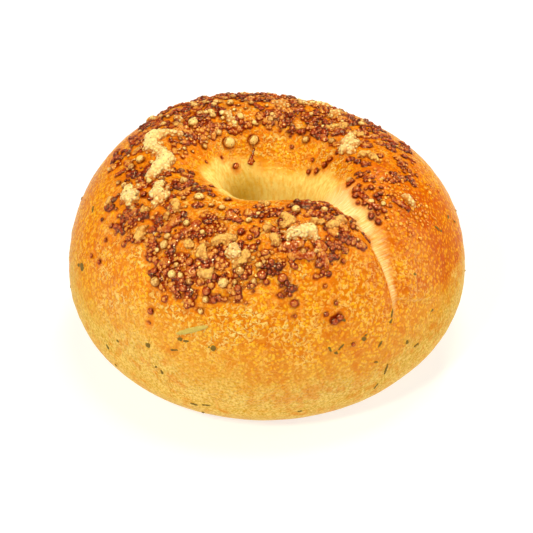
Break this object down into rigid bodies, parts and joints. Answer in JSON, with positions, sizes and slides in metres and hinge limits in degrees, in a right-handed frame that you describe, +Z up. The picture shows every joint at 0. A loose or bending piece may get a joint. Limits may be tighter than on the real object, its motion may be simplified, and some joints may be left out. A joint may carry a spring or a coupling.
{
  "type": "bagel",
  "caption": "Plump round baked bagel with a narrow hole, a folded seam across its crown and baked cheese curds fused to its crust.",
  "frame": {"origin": "on the surface that the bagel rests on, under the middle of its outline", "axes": "+Z up through the hole, -Y towards the side where the seam runs down, +X to the right of it"},
  "size_m": [0.1059, 0.1042, 0.0574],
  "materials": {
    "crust": "glossy golden-brown bread crust with fine blisters",
    "cheese": "pale melted cheese, pitted and slightly oily",
    "toasted_cheese": "red-brown toasted cheese bead, shiny with fat",
    "herb": "dark dried herb fleck under the crust"
  },
  "bodies": {
    "root": {"bagel": "crust"}
  },
  "joints": []
}
